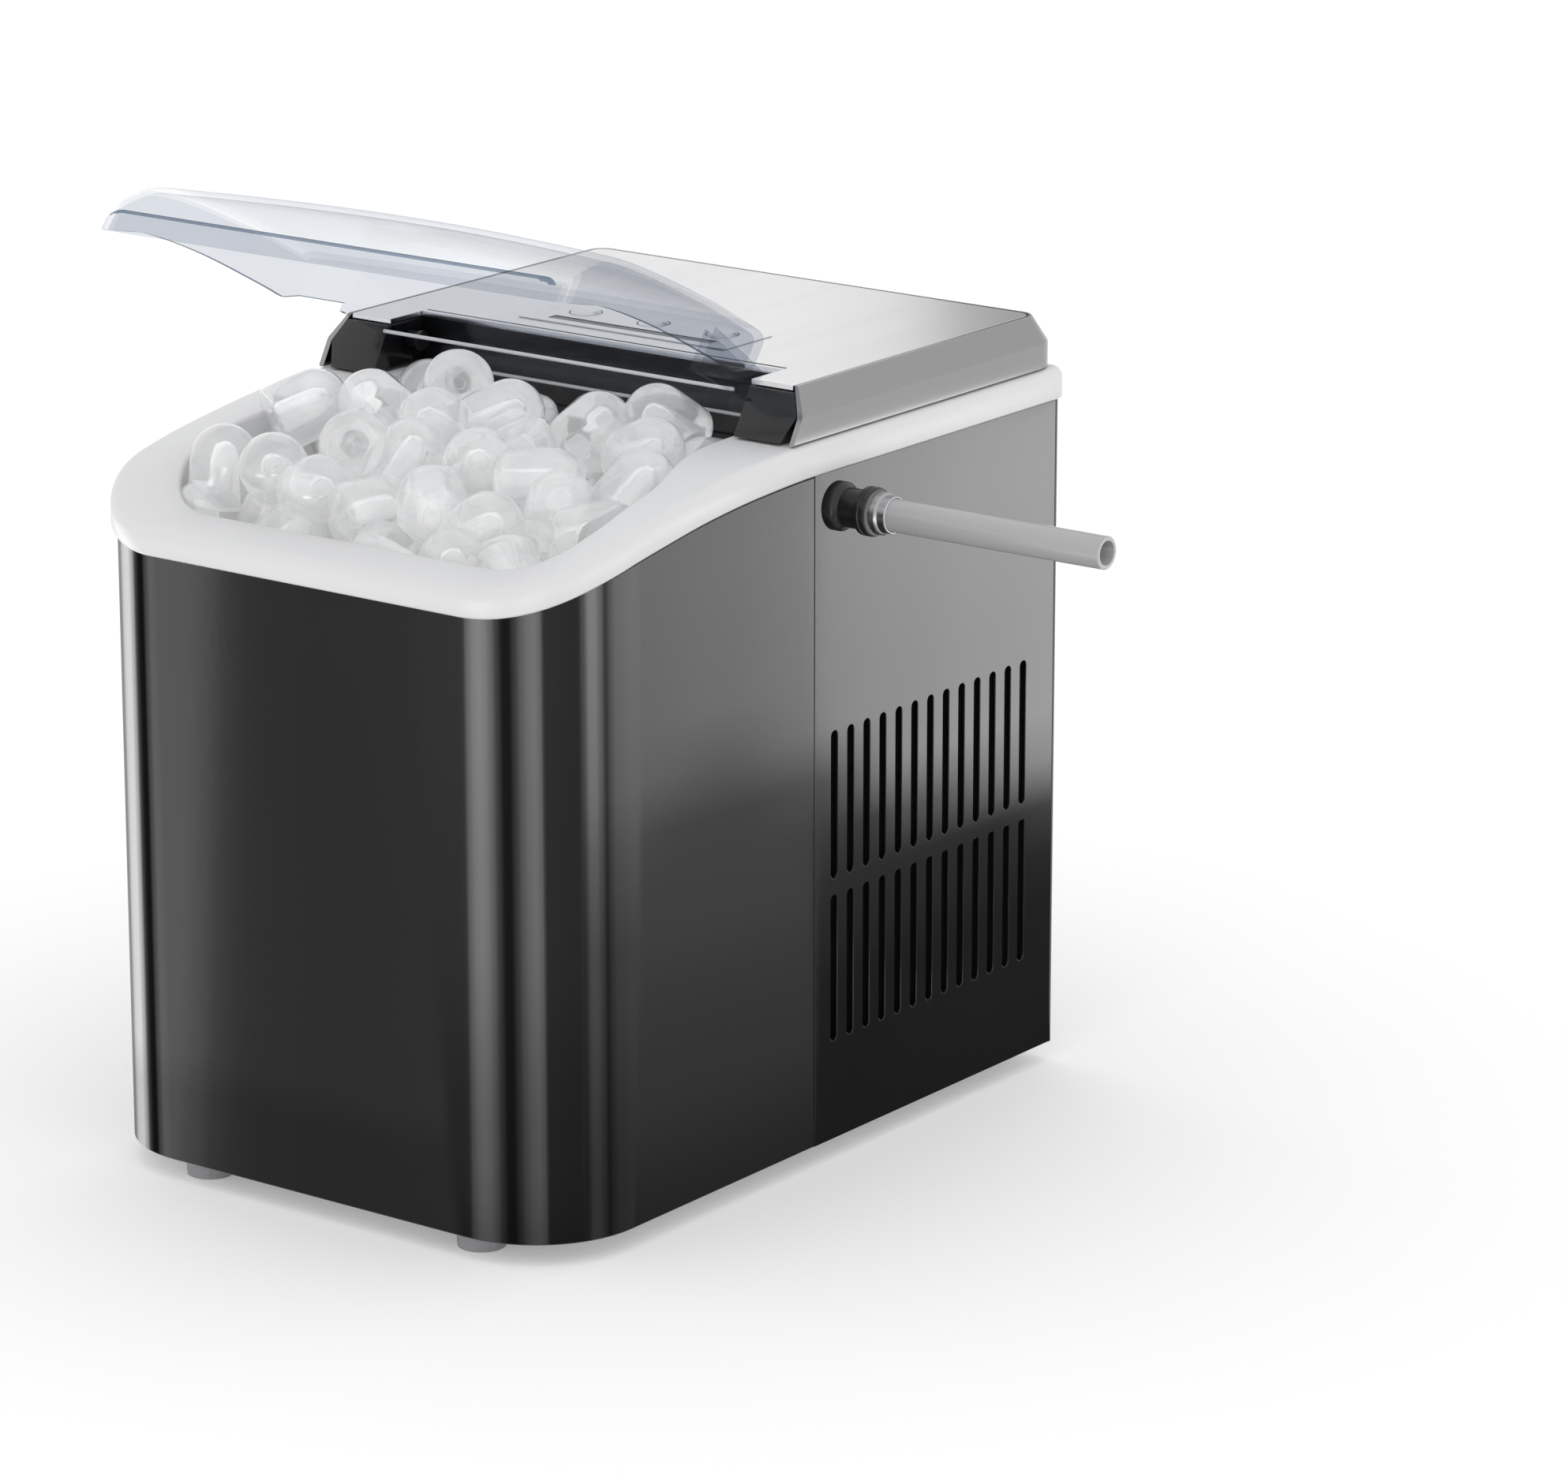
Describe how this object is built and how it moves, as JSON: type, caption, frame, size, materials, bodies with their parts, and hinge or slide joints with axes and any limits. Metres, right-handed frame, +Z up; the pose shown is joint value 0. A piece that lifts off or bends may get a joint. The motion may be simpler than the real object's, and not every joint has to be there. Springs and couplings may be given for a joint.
{
  "type": "ice maker",
  "caption": "Compact countertop ice maker with a hinged clear lid over a white-rimmed ice basin, brushed hood, slotted side vents and a side outlet pipe.",
  "frame": {"origin": "centre of the whole object's footprint on the surface it stands on, outlet pipe included", "axes": "+Z up, -Y out of the rounded front, +X towards the side with the outlet pipe"},
  "size_m": [0.3412, 0.3098, 0.3602],
  "materials": {
    "cover_gloss_black": "high-gloss black shell",
    "back_panel_black": "fine-textured black plastic",
    "hood_gloss_black": "gloss black moulding",
    "rim_white": "satin white moulded plastic",
    "basket_white": "soft white moulded plastic",
    "hood_silver": "fine brushed silver sheet",
    "lid_clear_blue": "clear plastic with a faint blue tint",
    "fitting_black": "semi-gloss black plastic",
    "collar_chrome": "bright nickel plating",
    "pipe_grey": "semi-gloss grey plastic",
    "foot_rubber": "grey rubber",
    "hose_rubber": "milky silicone hose",
    "base_aluminium": "plain bright metal",
    "compressor_black": "black baked enamel",
    "copper_tube": "bare copper",
    "insulation_foam": "pale expanded foam",
    "circuit_green": "green circuit board"
  },
  "bodies": {
    "cabinet": {"front_cover": "cover_gloss_black", "left_side_panel": "cover_gloss_black", "right_side_panel": "cover_gloss_black", "back_panel": "back_panel_black", "hood_cap_left": "hood_gloss_black", "hood_cap_right": "hood_gloss_black", "hood_fascia": "hood_gloss_black", "control_bezel": "hood_gloss_black", "top_rim": "rim_white", "inner_tank": "rim_white", "ice_basket": "basket_white", "hood_shell": "hood_silver", "hood_top_panel": "hood_silver", "indicator_lens": "lid_clear_blue", "drain_flange": "fitting_black", "drain_nut": "fitting_black", "power_inlet": "fitting_black", "ice_full_sensor": "fitting_black", "fan_shroud": "fitting_black", "water_pump": "fitting_black", "drain_collar": "collar_chrome", "evaporator": "collar_chrome", "drain_pipe": "pipe_grey", "tray_bracket_left": "pipe_grey", "tray_bracket_right": "pipe_grey", "shovel_rail_left": "pipe_grey", "shovel_rail_right": "pipe_grey", "foot_front_left": "foot_rubber", "foot_front_right": "foot_rubber", "foot_rear_left": "foot_rubber", "foot_rear_right": "foot_rubber", "drain_plug": "foot_rubber", "drain_hose": "hose_rubber", "supply_hose": "hose_rubber", "base_pan": "base_aluminium", "condenser_core": "base_aluminium", "fan_motor": "base_aluminium", "tray_motor": "base_aluminium", "compressor": "compressor_black", "dryer_filter": "copper_tube", "suction_line": "copper_tube", "discharge_line": "copper_tube", "foam_insulation": "insulation_foam", "power_board": "circuit_green", "control_board": "circuit_green"},
    "lid": {"lid_shell": "lid_clear_blue", "hinge_pin_left": "fitting_black", "hinge_pin_right": "fitting_black"},
    "water_tray": {"water_tray": "basket_white"},
    "ice_shovel": {"ice_shovel": "basket_white"},
    "fan": {"fan_rotor": "fitting_black"},
    "power_button": {"power_button": "fitting_black"},
    "select_button": {"select_button": "fitting_black"},
    "clean_button": {"clean_button": "fitting_black"}
  },
  "joints": [
    {"name": "lid_hinge", "type": "hinge", "parent": "cabinet", "child": "lid", "pos_m": [-0.05795, 0.007, 0.2843], "axis": [-1, 0, 0], "range_deg": [-36, 30]},
    {"name": "water_tray_tilt", "type": "hinge", "parent": "cabinet", "child": "water_tray", "pos_m": [-0.05795, 0.038, 0.252], "axis": [1, 0, 0], "range_deg": [0, 65]},
    {"name": "ice_shovel_push", "type": "slide", "parent": "cabinet", "child": "ice_shovel", "axis": [0, -1, 0], "range_m": [0, 0.038]},
    {"name": "fan_spin", "type": "hinge", "parent": "cabinet", "child": "fan", "pos_m": [0.00705, 0.072, 0.064], "axis": [1, 0, 0], "continuous": true},
    {"name": "power_press", "type": "slide", "parent": "cabinet", "child": "power_button", "axis": [0, 0, -1], "range_m": [0, 0.0012], "stiffness_N_per_m": 300},
    {"name": "select_press", "type": "slide", "parent": "cabinet", "child": "select_button", "axis": [0, 0, -1], "range_m": [0, 0.0012], "stiffness_N_per_m": 300},
    {"name": "clean_press", "type": "slide", "parent": "cabinet", "child": "clean_button", "axis": [0, 0, -1], "range_m": [0, 0.0012], "stiffness_N_per_m": 300}
  ],
  "couplings": [
    {"joint": "ice_shovel_push", "follows": "water_tray_tilt", "m_per_rad": 0.0334}
  ]
}
